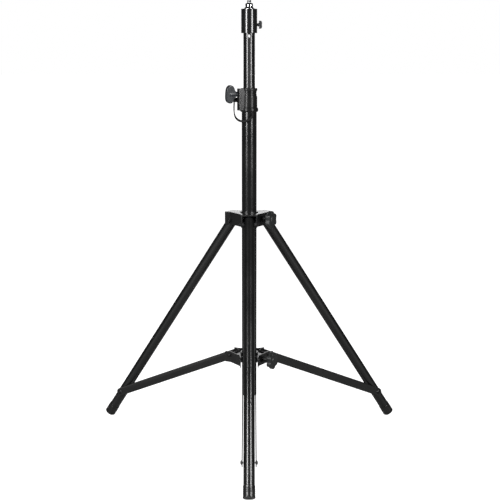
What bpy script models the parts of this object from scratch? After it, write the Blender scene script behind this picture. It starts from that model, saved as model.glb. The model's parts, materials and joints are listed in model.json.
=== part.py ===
"""A telescopic lighting stand on a folding tripod, in metres, with +Z up.

The mast is two round tubes. The inner one slides in the outer one and is held by a clamp collar.
Two sheet-metal brackets grip the outer tube with star knobs. The legs hinge in the upper bracket,
and pairs of flat braces run from the lower bracket to the legs, so that the tripod folds like an umbrella.
Each arm of the tripod has its own empty, whose +X points outwards along the arm.
"""

import math

import bmesh
import bpy
from mathutils import Matrix, Vector

GAP = 0.0003
SAME_POINT = 5e-6

# The three arms of the tripod, as angles about the mast from +X.
ARMS = {"front": 270.0, "right": 30.0, "left": 150.0}

# Legs: hinge in the upper bracket, pivot of the braces on the leg, and the middle of the foot's end.
HINGE_RADIUS = 0.0585
HINGE_HEIGHT = 0.6798
LEG_ANGLE = math.radians(35.12)
LEG_TO_BRACE = 0.7234
LEG_LENGTH = 0.8191
LEG_TOP = 0.013
LEG_OUTER = 0.0156
LEG_WALL = 0.0015
FOOT_OUTER = 0.0171
FOOT_COVER = 0.032
FOOT_SOLE = 0.002
TUBE_SHORT_OF_FOOT = 0.006

# Braces: two flat bars beside each leg, on a rivet in the lower bracket.
BRACE_RADIUS = 0.0549
BRACE_HEIGHT = 0.2650
BAR_HEIGHT = 0.0254
BAR_THICKNESS = 0.0028
BAR_MIDDLE = 0.0190
SPACER_OUTER = 0.0050
BOLT_RADIUS = 0.0030
BOLT_HEAD = 0.0058
RIVET_HEAD = 0.0054

# Brackets: three arms with parallel ears, joined by long walls, around a collar on the mast.
EAR_LENGTH = 0.0191
SHEET = 0.0030
UPPER_REACH = 0.0711
UPPER_HALF_WIDTH = 0.0240
UPPER_BOTTOM = 0.6708
UPPER_TOP = 0.7083
LOWER_REACH = 0.0684
LOWER_HALF_WIDTH = 0.0283
LOWER_BOTTOM = 0.2449
LOWER_TOP = 0.2777
LOWER_PLATE_TOP = 0.2704
PLATE_LIP = 0.0006
BRACKET_COLLAR = 0.0270
KNOB_ANGLE = 330.0
KNOB_SCREW = 0.0040
UPPER_SCREW_HEIGHT = 0.6905
LOWER_SCREW_HEIGHT = 0.2600

# Mast.
OUTER_TUBE = 0.02225
OUTER_BORE = 0.0203
OUTER_BOTTOM = 0.1463
OUTER_TOP = 1.0300
INNER_TUBE = 0.0175
INNER_BORE = 0.0156
INNER_BOTTOM = 0.3200
INNER_TOP = 1.3030
LOCK_HOLE = 0.0050
LOCK_HOLE_TOP = 1.2294
LOCK_HOLE_PITCH = 0.1866
LOCK_HOLES = 5
LOCK_HOLE_ANGLE = 96.0

# Clamp collar on top of the outer tube.
COLLAR_BOTTOM = 1.0083
COLLAR_TOP = 1.0780
CLAMP_ANGLE = 205.0
CLAMP_HEIGHT = 1.0604
CLAMP_SCREW = 0.0050
PIN_ANGLE = 165.0
PIN_HEIGHT = 1.0428
PIN_RADIUS = 0.0045

# Head of the mast.
SLEEVE_OUTER = 0.0242
SLEEVE_BOTTOM = 1.2378
SLEEVE_TOP = 1.3075
T_SCREW_HEIGHT = 1.2620
TIP_TOP = 1.3330

# Strap of the safety pin: its section, and its route from the mast's axis.
LANYARD_WIDTH = 0.0066
LANYARD_THICKNESS = 0.0030
LANYARD_ROUTE = (
    (-0.0446, 0.0120, 1.0356),
    (-0.0449, 0.0113, 1.0280),
    (-0.0451, 0.0095, 1.0200),
    (-0.0450, 0.0062, 1.0120),
    (-0.0443, 0.0008, 1.0040),
    (-0.0422, -0.0062, 0.9962),
    (-0.0380, -0.0132, 0.9893),
    (-0.0312, -0.0200, 0.9842),
    (-0.0223, -0.0250, 0.9816),
    (-0.0125, -0.0278, 0.9818),
    (-0.0030, -0.0287, 0.9850),
    (0.0045, -0.0282, 0.9900),
    (0.0088, -0.0264, 0.9960),
    (0.0100, -0.0242, 1.0020),
    (0.0096, -0.0224, 1.0076),
)

# The origin is the middle of the stand's footprint. The front foot reaches further than the others, so
# the mast stands behind it.
AXIS_Y = 0.1313


def clear_scene():
    for obj in list(bpy.data.objects):
        bpy.data.objects.remove(obj, do_unlink=True)


def material(name, colour, roughness, metallic):
    made = bpy.data.materials.new(name)
    made.use_nodes = True
    shader = made.node_tree.nodes["Principled BSDF"]
    shader.inputs["Base Color"].default_value = (*colour, 1.0)
    shader.inputs["Roughness"].default_value = roughness
    shader.inputs["Metallic"].default_value = metallic
    return made


def finish(name):
    """The stand's few finishes, each made once."""
    if name not in bpy.data.materials:
        colour, roughness, metallic = FINISHES[name]
        material(name, colour, roughness, metallic)
    return bpy.data.materials[name]


FINISHES = {
    "black_powder_coat": ((0.018, 0.019, 0.020), 0.38, 0.0),
    "black_gloss_tube": ((0.016, 0.017, 0.018), 0.22, 0.0),
    "black_zinc": ((0.030, 0.030, 0.032), 0.40, 0.6),
    "black_nylon": ((0.020, 0.022, 0.025), 0.50, 0.0),
    "natural_nylon": ((0.55, 0.54, 0.50), 0.50, 0.0),
    "black_rubber": ((0.015, 0.015, 0.015), 0.75, 0.0),
    "brass": ((0.65, 0.48, 0.22), 0.35, 1.0),
    "chrome": ((0.80, 0.80, 0.80), 0.08, 1.0),
}


# ---- Shapes ---------------------------------------------------------------


def mesh_from(bm, name):
    bmesh.ops.recalc_face_normals(bm, faces=bm.faces)
    mesh = bpy.data.meshes.new(name)
    bm.to_mesh(mesh)
    bm.free()
    mesh.shade_smooth()
    mesh.set_sharp_from_angle(angle=math.radians(35))
    return mesh


def turned(name, profile, segments):
    """A profile of (radius, height) points, spun about Z. It closes on itself, or on the axis."""
    bm = bmesh.new()
    verts = [bm.verts.new((radius, 0.0, height)) for radius, height in profile]
    edges = [bm.edges.new(pair) for pair in zip(verts, verts[1:])]
    if profile[0][0] > 0:
        edges.append(bm.edges.new((verts[-1], verts[0])))
    bmesh.ops.spin(
        bm,
        geom=verts + edges,
        cent=(0, 0, 0),
        axis=(0, 0, 1),
        angle=math.tau,
        steps=segments,
        use_merge=True,
    )
    bmesh.ops.remove_doubles(bm, verts=bm.verts, dist=SAME_POINT)
    return mesh_from(bm, name)


def ring(name, outer, inner, bottom, top, segments):
    return turned(name, [(outer, top), (outer, bottom), (inner, bottom), (inner, top)], segments)


def rod(name, radius, bottom, top, segments):
    return turned(name, [(0, top), (radius, top), (radius, bottom), (0, bottom)], segments)


def prism(name, outline, bottom, top):
    """A flat outline of (x, y) points, extruded from bottom to top."""
    bm = bmesh.new()
    face = bm.faces.new([bm.verts.new((x, y, bottom)) for x, y in outline])
    grown = bmesh.ops.extrude_face_region(bm, geom=[face])
    moved = [item for item in grown["geom"] if isinstance(item, bmesh.types.BMVert)]
    bmesh.ops.translate(bm, vec=(0, 0, top - bottom), verts=moved)
    return mesh_from(bm, name)


def box(name, low, high):
    outline = [(low[0], low[1]), (high[0], low[1]), (high[0], high[1]), (low[0], high[1])]
    return prism(name, outline, low[2], high[2])


def moved_mesh(mesh, matrix):
    mesh.transform(matrix)
    return mesh


def towards(angle, radius=0.0, height=0.0):
    """Carries a shape made along +Z to lie along a level direction at this angle, starting at this radius."""
    turn = Matrix.Rotation(math.radians(angle), 4, "Z") @ Matrix.Rotation(math.pi / 2, 4, "Y")
    start = Matrix.Rotation(math.radians(angle), 4, "Z") @ Vector((radius, 0, 0))
    return Matrix.Translation(start + Vector((0, 0, height))) @ turn


def across():
    """Carries a shape made along +Z to lie along +Y."""
    return Matrix.Rotation(-math.pi / 2, 4, "X")


def combined(name, base, joined=(), cut=()):
    """The base mesh with some meshes joined to it and others cut from it."""
    worked = bpy.data.objects.new(name, base)
    bpy.context.scene.collection.objects.link(worked)
    helpers = []
    for operation, meshes in (("UNION", joined), ("DIFFERENCE", cut)):
        for mesh in meshes:
            helper = bpy.data.objects.new("cutter", mesh)
            helper.hide_render = True
            helper.display_type = "WIRE"
            bpy.context.scene.collection.objects.link(helper)
            helpers.append(helper)
            modifier = worked.modifiers.new(operation.lower(), "BOOLEAN")
            modifier.operation = operation
            modifier.solver = "EXACT"
            modifier.object = helper
    bpy.context.view_layer.update()
    graph = bpy.context.evaluated_depsgraph_get()
    mesh = bpy.data.meshes.new_from_object(worked.evaluated_get(graph))
    for helper in helpers:
        bpy.data.objects.remove(helper, do_unlink=True)
    bpy.data.objects.remove(worked, do_unlink=True)
    bm = bmesh.new()
    bm.from_mesh(mesh)
    bmesh.ops.remove_doubles(bm, verts=bm.verts, dist=SAME_POINT)
    return mesh_from(bm, name)


# ---- Placing --------------------------------------------------------------


def empty(name, location, rotation=(0, 0, 0), parent=None):
    made = bpy.data.objects.new(name, None)
    bpy.context.scene.collection.objects.link(made)
    made.location = location
    made.rotation_euler = rotation
    made.parent = parent
    return made


def place(name, mesh, finish_name, parent, location=(0, 0, 0)):
    """One piece of the stand. Copies of a piece share its mesh."""
    made = bpy.data.objects.new(name, mesh)
    bpy.context.scene.collection.objects.link(made)
    made.location = location
    made.parent = parent
    if not mesh.materials:
        mesh.materials.append(finish(finish_name))
    return made


# ---- Mast -----------------------------------------------------------------


def lock_hole_cutters():
    cutters = []
    for number in range(LOCK_HOLES):
        height = LOCK_HOLE_TOP - number * LOCK_HOLE_PITCH
        cutter = rod("lock_hole", LOCK_HOLE, -0.03, 0.03, 12)
        cutters.append(moved_mesh(cutter, towards(LOCK_HOLE_ANGLE, 0.0, height)))
    return cutters


def make_mast(axis):
    tube = ring("outer_tube", OUTER_TUBE, OUTER_BORE, OUTER_BOTTOM, OUTER_TOP, 32)
    place("outer_tube", tube, "black_powder_coat", axis)
    cap = [
        (0, OUTER_BOTTOM + 0.012),
        (OUTER_BORE - GAP, OUTER_BOTTOM + 0.012),
        (OUTER_BORE - GAP, OUTER_BOTTOM - GAP),
        (OUTER_TUBE, OUTER_BOTTOM - GAP),
        (OUTER_TUBE, OUTER_BOTTOM - 0.0025),
        (OUTER_TUBE - 0.001, OUTER_BOTTOM - 0.0035),
        (0, OUTER_BOTTOM - 0.0035),
    ]
    place("mast_end_cap", turned("mast_end_cap", cap, 24), "black_nylon", axis)
    bush_inner = INNER_TUBE + GAP
    bush = ring("guide_bush", OUTER_BORE - GAP, bush_inner, OUTER_TOP - 0.045, OUTER_TOP - 0.0003, 24)
    place("guide_bush", bush, "black_nylon", axis)

    slider = empty("extension_axis", (0, 0, INNER_BOTTOM), parent=axis)
    foot_ring = ring("inner_tube_guide", OUTER_BORE - GAP, INNER_TUBE + GAP, 0.002, 0.032, 24)
    place("inner_tube_guide", foot_ring, "natural_nylon", slider)
    screw_hole = moved_mesh(rod("screw_hole", 0.0048, 0.0, 0.03, 12), towards(0.0, 0.0, T_SCREW_HEIGHT))
    blank = ring("inner_tube", INNER_TUBE, INNER_BORE, INNER_BOTTOM, INNER_TOP, 28)
    tube = combined("inner_tube", blank, cut=[*lock_hole_cutters(), screw_hole])
    place("inner_tube", tube, "black_gloss_tube", axis)


def make_head(axis):
    screw_hole = moved_mesh(rod("screw_hole", 0.0043, 0.0, 0.04, 12), towards(0.0, 0.0, T_SCREW_HEIGHT))
    chamfer = 0.0008
    profile = [
        (SLEEVE_OUTER - chamfer, SLEEVE_TOP),
        (SLEEVE_OUTER, SLEEVE_TOP - chamfer),
        (SLEEVE_OUTER, SLEEVE_BOTTOM + chamfer),
        (SLEEVE_OUTER - chamfer, SLEEVE_BOTTOM),
        (INNER_TUBE + GAP, SLEEVE_BOTTOM),
        (INNER_TUBE + GAP, SLEEVE_TOP),
    ]
    sleeve = combined("top_sleeve", turned("top_sleeve", profile, 32), cut=[screw_hole])
    place("top_sleeve", sleeve, "black_gloss_tube", axis)
    make_spigot(axis)
    make_t_screw(axis)


def make_spigot(axis):
    """Stud that clamps in the tube's end: grooved stem, flared foot, waisted head and a threaded tip."""
    stem = INNER_BORE - GAP
    groove = 0.0135
    base = SLEEVE_TOP + GAP
    profile = [
        (0, TIP_TOP),
        (0.0053, TIP_TOP),
        (0.0060, TIP_TOP - 0.0007),
        (0.0060, TIP_TOP - 0.0085),
        (0.0074, TIP_TOP - 0.0085),
        (0.0100, TIP_TOP - 0.0098),
        (0.0121, TIP_TOP - 0.0128),
        (0.0121, TIP_TOP - 0.0172),
        (0.0112, TIP_TOP - 0.0183),
        (0.0112, TIP_TOP - 0.0192),
        (0.0121, TIP_TOP - 0.0203),
        (0.0130, base + 0.0030),
        (0.0168, base + 0.0008),
        (0.0168, base),
        (stem, base),
        (stem, T_SCREW_HEIGHT + 0.0065),
        (groove, T_SCREW_HEIGHT + 0.0050),
        (groove, T_SCREW_HEIGHT - 0.0050),
        (stem, T_SCREW_HEIGHT - 0.0065),
        (stem, 1.2450),
        (stem - 0.001, 1.2440),
        (0, 1.2440),
    ]
    place("spigot", turned("spigot", profile, 24), "chrome", axis)


def make_t_screw(axis):
    """Locking screw of the spigot: a shank and a bowed cross bar, made along +Z with the bar along X."""
    start, neck, tip = 0.0140, 0.0258, 0.0378
    shank = [
        (0, neck + 0.010),
        (0.0056, neck + 0.010),
        (0.0060, neck + 0.002),
        (0.0040, neck),
        (0.0040, start),
        (0, start),
    ]
    half_bar, bow, thick = 0.0115, 0.0030, 0.0034
    outline = []
    steps = 8
    for side in (1, -1):
        for step in range(steps + 1):
            along = side * (1 - 2 * step / steps)
            depth = tip - thick - bow * along * along + side * thick * (1.2 - 0.4 * abs(along))
            outline.append((along * half_bar, depth))
    half_wide = 0.0042
    bar = prism("bar", outline, -half_wide, half_wide)
    moved_mesh(bar, Matrix.Rotation(math.pi / 2, 4, "X"))
    screw = combined("t_screw", turned("t_screw", shank, 12), joined=[bar])
    moved_mesh(screw, towards(0.0))
    place("t_screw", screw, "black_nylon", axis, (0, 0, T_SCREW_HEIGHT))


# ---- Clamp collar ---------------------------------------------------------


def make_collar(axis):
    """Cast collar: a socket over the outer tube, a neck that grips the inner tube, and two bosses."""
    socket_top = OUTER_TOP + GAP
    body = [
        (0.0228, COLLAR_TOP),
        (0.0243, COLLAR_TOP - 0.0015),
        (0.0243, 1.0705),
        (0.0222, 1.0695),
        (0.0222, 1.0555),
        (0.0240, 1.0540),
        (0.0240, 1.0210),
        (0.0269, 1.0190),
        (0.0269, 1.0110),
        (0.0250, COLLAR_BOTTOM),
        (0.0150, COLLAR_BOTTOM),
        (0.0150, COLLAR_TOP),
    ]
    boss_end, boss_half, boss_corner = 0.0360, 0.0115, 0.0035
    boss = [
        (0.0160, -boss_half),
        (boss_end - boss_corner, -boss_half),
        (boss_end, -boss_half + boss_corner),
        (boss_end, boss_half - boss_corner),
        (boss_end - boss_corner, boss_half),
        (0.0160, boss_half),
    ]
    clamp_boss = prism("clamp_boss", boss, 1.0125, COLLAR_TOP - 0.0008)
    moved_mesh(clamp_boss, Matrix.Rotation(math.radians(CLAMP_ANGLE), 4, "Z"))
    pin_boss = moved_mesh(rod("pin_boss", 0.0085, 0.016, 0.034, 12), towards(PIN_ANGLE, 0, PIN_HEIGHT))
    socket = rod("socket", OUTER_TUBE + GAP, COLLAR_BOTTOM - 0.01, socket_top, 32)
    throat = rod("throat", INNER_TUBE + GAP, socket_top - 0.005, COLLAR_TOP + 0.01, 28)
    screw_hole = rod("screw_hole", CLAMP_SCREW + GAP, 0.010, 0.050, 12)
    pin_hole = rod("pin_hole", PIN_RADIUS + GAP, 0.010, 0.050, 12)
    collar = combined(
        "clamp_collar",
        turned("clamp_collar", body, 32),
        joined=[clamp_boss, pin_boss],
        cut=[
            socket,
            throat,
            moved_mesh(screw_hole, towards(CLAMP_ANGLE, 0, CLAMP_HEIGHT)),
            moved_mesh(pin_hole, towards(PIN_ANGLE, 0, PIN_HEIGHT)),
        ],
    )
    place("clamp_collar", collar, "black_powder_coat", axis)
    pad = rod("clamp_pad", CLAMP_SCREW, INNER_TUBE + 0.0004, 0.0195, 12)
    place("clamp_pad", moved_mesh(pad, towards(CLAMP_ANGLE, 0, CLAMP_HEIGHT)), "brass", axis)


def make_clamp_knob(axis):
    """Wing knob on the collar's screw, made along +Z with its wings along X, then laid along the boss."""
    knob_axis = empty("clamp_knob_axis", (0, 0, CLAMP_HEIGHT), (0, 0, math.radians(CLAMP_ANGLE)), axis)
    lay = Matrix.Rotation(math.pi / 2, 4, "Y")
    screw = rod("clamp_screw", CLAMP_SCREW, 0.0198, 0.0560, 12)
    place("clamp_screw", moved_mesh(screw, lay), "black_zinc", knob_axis)

    wing_tilt = math.radians(-8)
    half_thick = 0.0075
    outline = [
        (0.0060, 0.0440),
        (0.0115, 0.0480),
        (0.0195, 0.0515),
        (0.0250, 0.0560),
        (0.0266, 0.0620),
        (0.0250, 0.0685),
        (0.0190, 0.0735),
        (0.0095, 0.0755),
        (0.0, 0.0757),
    ]
    mirrored = [(-x, z) for x, z in reversed(outline[:-1])]
    wings = prism("wings", outline + mirrored, -half_thick, half_thick)
    bm = bmesh.new()
    bm.from_mesh(wings)
    rims = [edge for edge in bm.edges if len({round(v.co.z, 5) for v in edge.verts}) == 1]
    bmesh.ops.bevel(
        bm,
        geom=rims,
        offset=0.0022,
        offset_type="OFFSET",
        affect="EDGES",
        segments=2,
        profile=0.5,
        material=-1,
    )
    wings = mesh_from(bm, "wings")
    moved_mesh(wings, Matrix.Rotation(math.pi / 2, 4, "X"))
    hub = [
        (0, 0.0700),
        (0.0075, 0.0690),
        (0.0092, 0.0620),
        (0.0085, 0.0500),
        (0.0070, 0.0385),
        (0, 0.0385),
    ]
    hole = rod("hole", CLAMP_SCREW + GAP, 0.030, 0.0560 + GAP, 12)
    knob = combined("clamp_knob", turned("clamp_knob", hub, 16), joined=[wings], cut=[hole])
    moved_mesh(knob, Matrix.Rotation(wing_tilt, 4, "Z"))
    place("clamp_knob", moved_mesh(knob, lay @ Matrix.Rotation(math.pi, 4, "Z")), "black_nylon", knob_axis)


def make_safety_pin(axis):
    """Pin that stops the inner tube from dropping. It pulls straight out of its boss by its head."""
    pin_axis = empty("pin_axis", (0, 0, PIN_HEIGHT), (0, 0, math.radians(PIN_ANGLE)), axis)
    profile = [
        (0, 0.0490),
        (0.0055, 0.0490),
        (0.0060, 0.0484),
        (0.0060, 0.0476),
        (0.0040, 0.0476),
        (0.0040, 0.0446),
        (0.0064, 0.0446),
        (0.0068, 0.0440),
        (0.0068, 0.0375),
        (0.0055, 0.0343),
        (PIN_RADIUS, 0.0343),
        (PIN_RADIUS, INNER_TUBE + 0.0018),
        (PIN_RADIUS - 0.0012, INNER_TUBE + 0.0005),
        (0, INNER_TUBE + 0.0005),
    ]
    pin = turned("safety_pin", profile, 12)
    place("safety_pin", moved_mesh(pin, Matrix.Rotation(math.pi / 2, 4, "Y")), "black_zinc", pin_axis)


def smooth_route(points, per_span):
    """Points on a Catmull-Rom curve through the route."""
    route = [Vector(point) for point in points]
    ends = [2 * route[0] - route[1], *route, 2 * route[-1] - route[-2]]
    smooth = []
    for before, start, stop, after in zip(ends, ends[1:], ends[2:], ends[3:]):
        for step in range(per_span):
            t = step / per_span
            bend = 2 * before - 5 * start + 4 * stop - after
            twist = 3 * start - before - 3 * stop + after
            smooth.append((2 * start + (stop - before) * t + bend * t * t + twist * t * t * t) / 2)
    return [*smooth, route[-1]]


def make_lanyard(axis):
    """Flat strap from the pin's head round the front of the mast to the collar, with its face to the mast."""
    route = smooth_route(LANYARD_ROUTE, 2)
    bm = bmesh.new()
    loops = []
    for before, point, after in zip([route[0], *route], route, [*route[1:], route[-1]]):
        along = (after - before).normalized()
        out = Vector((point.x, point.y, 0))
        out = (out - along * out.dot(along)).normalized() * LANYARD_THICKNESS / 2
        wide = along.cross(out).normalized() * LANYARD_WIDTH / 2
        flat = wide * 0.7
        corners = (out + flat, wide, -out + flat, -out - flat, -wide, out - flat)
        verts = [bm.verts.new(point + corner) for corner in corners]
        loops.append([bm.edges.new(pair) for pair in zip(verts, verts[1:] + verts[:1])])
    for first, second in zip(loops, loops[1:]):
        bmesh.ops.bridge_loops(bm, edges=first + second)
    for end in (loops[0], loops[-1]):
        bmesh.ops.contextual_create(bm, geom=end)
    place("lanyard", mesh_from(bm, "lanyard"), "black_nylon", axis)


# ---- Brackets -------------------------------------------------------------


def bracket_outline(reach, half_width, root):
    """Plan of a bracket: for each arm, two ears that are parallel from root to reach."""
    outline = []
    for angle in sorted(ARMS.values()):
        turn = Matrix.Rotation(math.radians(angle), 2)
        for point in ((root, -half_width), (reach, -half_width), (reach, half_width), (root, half_width)):
            outline.append(tuple(turn @ Vector(point)))
    return outline


def inner_outline(reach, half_width):
    """Plan of the space between a bracket's walls, open past the ends of the ears."""
    root = reach - EAR_LENGTH
    inset = SHEET * math.tan(math.radians(30))
    return bracket_outline(reach + 0.02, half_width - SHEET, root - inset)


def on_each_arm(make):
    """One mesh for each arm, made along the arm and turned to it."""
    turned_meshes = []
    for angle in ARMS.values():
        turned_meshes.append(moved_mesh(make(), Matrix.Rotation(math.radians(angle), 4, "Z")))
    return turned_meshes


def ear_hole(radius, height):
    hole = rod("ear_hole", BOLT_RADIUS + GAP, -0.05, 0.05, 12)
    return moved_mesh(hole, Matrix.Translation((radius, 0, height)) @ across())


def star_knob(name, neck, reach, blind):
    """Six-lobed knob, made along +Z from its neck outwards, with a blind hole for the screw."""
    lobes, radius, scallop = 6, 0.0262, 0.0021
    head_bottom = reach - 0.0170
    points = 48
    outline = []
    for number in range(points):
        angle = math.tau * number / points
        bulge = radius - scallop + scallop * math.cos(lobes * angle)
        outline.append((bulge * math.cos(angle), bulge * math.sin(angle)))
    head = prism("head", outline, head_bottom, reach - 0.002)
    hub = [
        (0, reach),
        (0.0120, reach),
        (0.0150, reach - 0.0040),
        (0.0130, head_bottom - 0.001),
        (0.0085, neck),
        (0, neck),
    ]
    hole = rod("hole", KNOB_SCREW + GAP, neck - 0.005, blind + GAP, 12)
    return combined(name, turned(name, hub, 16), joined=[head], cut=[hole])


def make_star_knob(axis, prefix, height, wall, reach):
    """Clamp screw with a star knob, square to the bracket's long wall."""
    knob_axis = empty(prefix + "_knob_axis", (0, 0, height), (0, 0, math.radians(KNOB_ANGLE)), axis)
    lay = Matrix.Rotation(math.pi / 2, 4, "Y")
    blind = reach - 0.0080
    screw = rod(prefix + "_screw", KNOB_SCREW, OUTER_TUBE + 0.0004, blind, 12)
    place(prefix + "_screw", moved_mesh(screw, lay), "black_zinc", knob_axis)
    knob = star_knob(prefix + "_knob", wall + 0.0035, reach, blind)
    place(prefix + "_knob", moved_mesh(knob, lay), "black_nylon", knob_axis)


def screw_boss(wall, height):
    boss = rod("screw_boss", 0.0085, OUTER_TUBE + 0.0010, wall + 0.002, 16)
    return moved_mesh(boss, towards(KNOB_ANGLE, 0, height))


def screw_bore(wall, height):
    bore = rod("screw_bore", KNOB_SCREW + GAP, 0.015, wall + 0.012, 12)
    return moved_mesh(bore, towards(KNOB_ANGLE, 0, height))


def wall_distance(reach, half_width):
    """From the mast's axis to a bracket's long wall."""
    return 0.5 * (reach - EAR_LENGTH) + math.cos(math.radians(30)) * half_width


def make_upper_bracket(axis):
    wall = wall_distance(UPPER_REACH, UPPER_HALF_WIDTH)
    root = UPPER_REACH - EAR_LENGTH
    outline = bracket_outline(UPPER_REACH, UPPER_HALF_WIDTH, root)
    hollow = inner_outline(UPPER_REACH, UPPER_HALF_WIDTH)
    shell = combined(
        "shell",
        prism("shell", outline, UPPER_BOTTOM, UPPER_TOP),
        cut=[prism("hollow", hollow, UPPER_BOTTOM - 0.01, UPPER_TOP - SHEET)],
    )
    collar_mesh = rod("collar", BRACKET_COLLAR, UPPER_BOTTOM + 0.0020, UPPER_TOP + 0.0030, 32)
    bore = rod("bore", OUTER_TUBE + GAP, UPPER_BOTTOM - 0.01, UPPER_TOP + 0.02, 30)
    bracket = combined(
        "upper_bracket",
        shell,
        joined=[collar_mesh, screw_boss(wall, UPPER_SCREW_HEIGHT)],
        cut=[
            bore,
            screw_bore(wall, UPPER_SCREW_HEIGHT),
            *on_each_arm(lambda: ear_hole(HINGE_RADIUS, HINGE_HEIGHT)),
        ],
    )
    place("upper_bracket", bracket, "black_powder_coat", axis)
    make_star_knob(axis, "upper", UPPER_SCREW_HEIGHT, wall, 0.0840)


def make_lower_bracket(axis):
    """Like the upper one, with its plate below the rim and cut away at each arm for the braces."""
    wall = wall_distance(LOWER_REACH, LOWER_HALF_WIDTH)
    root = LOWER_REACH - EAR_LENGTH
    outline = bracket_outline(LOWER_REACH, LOWER_HALF_WIDTH, root)
    hollow = inner_outline(LOWER_REACH, LOWER_HALF_WIDTH)
    plate_bottom = LOWER_PLATE_TOP - SHEET
    slot_half = LOWER_HALF_WIDTH - SHEET - PLATE_LIP

    def slot():
        return box("slot", (0.0360, -slot_half, plate_bottom - 0.002), (0.10, slot_half, LOWER_TOP + 0.002))

    shell = combined(
        "shell",
        prism("shell", outline, LOWER_BOTTOM, LOWER_TOP),
        cut=[
            prism("under", hollow, LOWER_BOTTOM - 0.01, plate_bottom),
            prism("over", hollow, LOWER_PLATE_TOP, LOWER_TOP + 0.01),
            *on_each_arm(slot),
        ],
    )
    collar_mesh = rod("collar", BRACKET_COLLAR, LOWER_BOTTOM + 0.0020, LOWER_TOP + 0.0010, 32)
    bore = rod("bore", OUTER_TUBE + GAP, LOWER_BOTTOM - 0.01, LOWER_TOP + 0.02, 30)
    bracket = combined(
        "lower_bracket",
        shell,
        joined=[collar_mesh, screw_boss(wall, LOWER_SCREW_HEIGHT)],
        cut=[
            bore,
            screw_bore(wall, LOWER_SCREW_HEIGHT),
            *on_each_arm(lambda: ear_hole(BRACE_RADIUS, BRACE_HEIGHT)),
        ],
    )
    place("lower_bracket", bracket, "black_powder_coat", axis)
    make_star_knob(axis, "lower", LOWER_SCREW_HEIGHT, wall, 0.0895)


# ---- Legs and braces ------------------------------------------------------


def hexagon():
    angles = [math.radians(60 * corner) for corner in range(6)]
    return [(BOLT_HEAD * math.cos(angle), BOLT_HEAD * math.sin(angle)) for angle in angles]


def hex_bolt(name, ear_face, length):
    """Bolt along +Y: a six-sided head outside one ear and a shank past the other."""
    bolt = combined(
        name,
        prism("head", hexagon(), ear_face + GAP, ear_face + 0.0043),
        joined=[rod("shank", BOLT_RADIUS, ear_face - length, ear_face + 0.002, 12)],
    )
    return moved_mesh(bolt, across())


def hex_nut(name, ear_face):
    nut = combined(
        name,
        prism(name, hexagon(), ear_face + GAP, ear_face + 0.0055),
        cut=[rod("thread", BOLT_RADIUS + GAP, ear_face - 0.01, ear_face + 0.02, 12)],
    )
    return moved_mesh(nut, Matrix.Rotation(math.pi / 2, 4, "X"))


def spacer(name, half_length):
    return moved_mesh(ring(name, SPACER_OUTER, BOLT_RADIUS + GAP, -half_length, half_length, 12), across())


def rivet(name, ear_face):
    """Rivet through both ears of the lower bracket, with a domed head at each end."""
    profile = [
        (0, ear_face + 0.0032),
        (RIVET_HEAD * 0.6, ear_face + 0.0028),
        (RIVET_HEAD, ear_face + 0.0010),
        (RIVET_HEAD, ear_face + GAP),
        (BOLT_RADIUS, ear_face + GAP),
    ]
    lower = [(radius, -height) for radius, height in reversed(profile)]
    return moved_mesh(turned(name, profile + lower, 12), across())


def leg_tube():
    """Leg along -Z from its hinge, with a cross hole for the hinge's spacer."""
    end = -(LEG_LENGTH - TUBE_SHORT_OF_FOOT)
    blank = ring("leg_tube", LEG_OUTER, LEG_OUTER - LEG_WALL, end, LEG_TOP, 20)
    hole = moved_mesh(rod("hole", SPACER_OUTER + GAP, -0.03, 0.03, 12), across())
    return combined("leg_tube", blank, cut=[hole])


def leg_plug():
    plug = LEG_OUTER - LEG_WALL - GAP
    profile = [
        (0, LEG_TOP + 0.0021),
        (LEG_OUTER - 0.0008, LEG_TOP + 0.0021),
        (LEG_OUTER, LEG_TOP + 0.0013),
        (LEG_OUTER, LEG_TOP + GAP),
        (plug, LEG_TOP + GAP),
        (plug, SPACER_OUTER + 0.0006),
        (0, SPACER_OUTER + 0.0006),
    ]
    return turned("leg_plug", profile, 20)


def foot():
    """Rubber cup on the leg's end, cut flat where it stands."""
    cup_top = -(LEG_LENGTH - FOOT_COVER)
    sole = -(LEG_LENGTH + FOOT_SOLE)
    profile = [
        (LEG_OUTER + GAP, cup_top),
        (FOOT_OUTER - 0.0003, cup_top),
        (FOOT_OUTER - 0.0003, cup_top - 0.004),
        (FOOT_OUTER, cup_top - 0.006),
        (FOOT_OUTER, sole + 0.0015),
        (FOOT_OUTER - 0.0015, sole),
        (0, sole),
        (0, -(LEG_LENGTH - TUBE_SHORT_OF_FOOT) - GAP),
        (LEG_OUTER + GAP, -(LEG_LENGTH - TUBE_SHORT_OF_FOOT) - GAP),
    ]
    bm = bmesh.new()
    verts = [bm.verts.new((radius, 0.0, height)) for radius, height in profile]
    edges = [bm.edges.new(pair) for pair in zip(verts, verts[1:] + verts[:1])]
    edges = [edge for edge in edges if max(vert.co.x for vert in edge.verts) > 0]
    bmesh.ops.spin(
        bm,
        geom=verts + edges,
        cent=(0, 0, 0),
        axis=(0, 0, 1),
        angle=math.tau,
        steps=20,
        use_merge=True,
    )
    bmesh.ops.remove_doubles(bm, verts=bm.verts, dist=SAME_POINT)
    loose = [edge for edge in bm.edges if not edge.link_faces]
    bmesh.ops.delete(bm, geom=loose, context="EDGES")
    upright = Matrix.Rotation(LEG_ANGLE, 3, "Y")
    cut = bmesh.ops.bisect_plane(
        bm,
        geom=bm.verts[:] + bm.edges[:] + bm.faces[:],
        plane_co=upright @ Vector((0, 0, -HINGE_HEIGHT)),
        plane_no=upright @ Vector((0, 0, 1)),
        clear_inner=True,
    )
    rim = [item for item in cut["geom_cut"] if isinstance(item, bmesh.types.BMEdge)]
    bmesh.ops.edgenet_fill(bm, edges=rim)
    return mesh_from(bm, "foot")


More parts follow.
